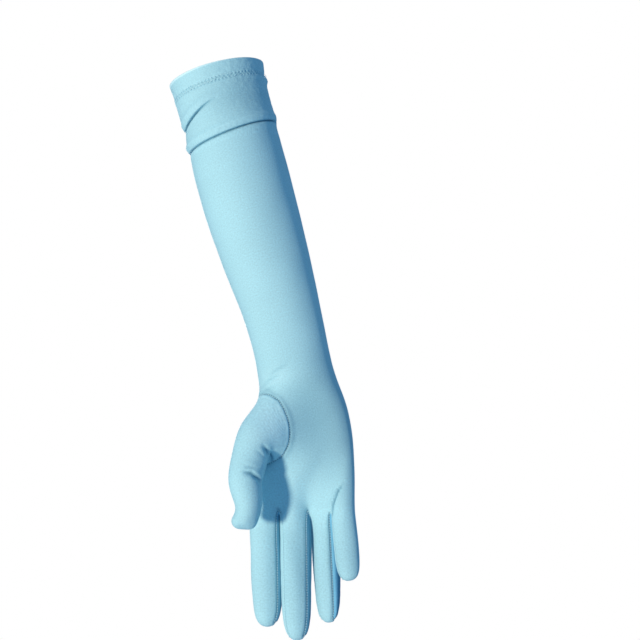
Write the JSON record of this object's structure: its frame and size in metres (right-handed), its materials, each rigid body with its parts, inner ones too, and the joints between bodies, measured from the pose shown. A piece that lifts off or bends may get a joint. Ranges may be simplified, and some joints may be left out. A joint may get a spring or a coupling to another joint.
{
  "type": "long glove",
  "caption": "Forearm-length dress glove in fine pale blue knit, right hand, shown filled out as worn, with a hemmed cuff, a seamed thumb and side walls between the fingers.",
  "frame": {"origin": "the middle of the cuff opening, where the arm goes in", "axes": "+Z out of the cuff opening along the arm, -Y the way the palm faces, +X to the little finger's side, -X to the thumb's side"},
  "size_m": [0.1059, 0.0749, 0.4152],
  "materials": {
    "knit": "fine stretch knit, slightly satin",
    "hem": "the same knit turned in double and stitched down"
  },
  "bodies": {
    "root": {"cuff_hem": "hem", "hand_and_sleeve": "knit", "thumb": "knit", "fourchette_index_middle": "knit", "fourchette_middle_ring": "knit", "fourchette_ring_little": "knit"}
  },
  "joints": []
}
